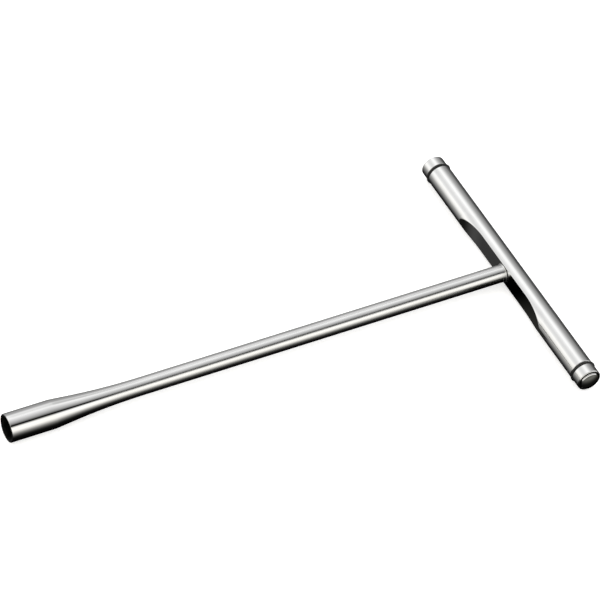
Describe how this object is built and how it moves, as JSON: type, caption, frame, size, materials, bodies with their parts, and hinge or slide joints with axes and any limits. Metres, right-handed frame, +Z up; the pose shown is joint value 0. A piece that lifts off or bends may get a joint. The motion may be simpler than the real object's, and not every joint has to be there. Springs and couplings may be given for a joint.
{
  "type": "T-handle socket wrench",
  "caption": "Long round stem with a hexagon socket at one end and a round cross handle at the other, flatted on the stem's side, with capped ends and black grip rings.",
  "frame": {"origin": "centre of the bounding box's underside, on the plane that the wrench lies on", "axes": "+X along the stem from the socket's mouth to the handle, +Y along the handle, +Z up, square to the flat T"},
  "size_m": [0.2858, 0.1682, 0.0147],
  "materials": {
    "chrome_stem": "mirror polished chrome plate",
    "chrome_bar": "mirror polished chrome plate",
    "chrome_weld": "chrome plate over a ground weld, slightly duller",
    "chrome_cap": "polished chrome plate",
    "black_rubber": "satin black rubber"
  },
  "bodies": {
    "root": {"stem": "chrome_stem", "handle_bar": "chrome_bar", "weld_fillet": "chrome_weld", "near_end_cap": "chrome_cap", "far_end_cap": "chrome_cap", "near_grip_ring": "black_rubber", "far_grip_ring": "black_rubber"}
  },
  "joints": []
}
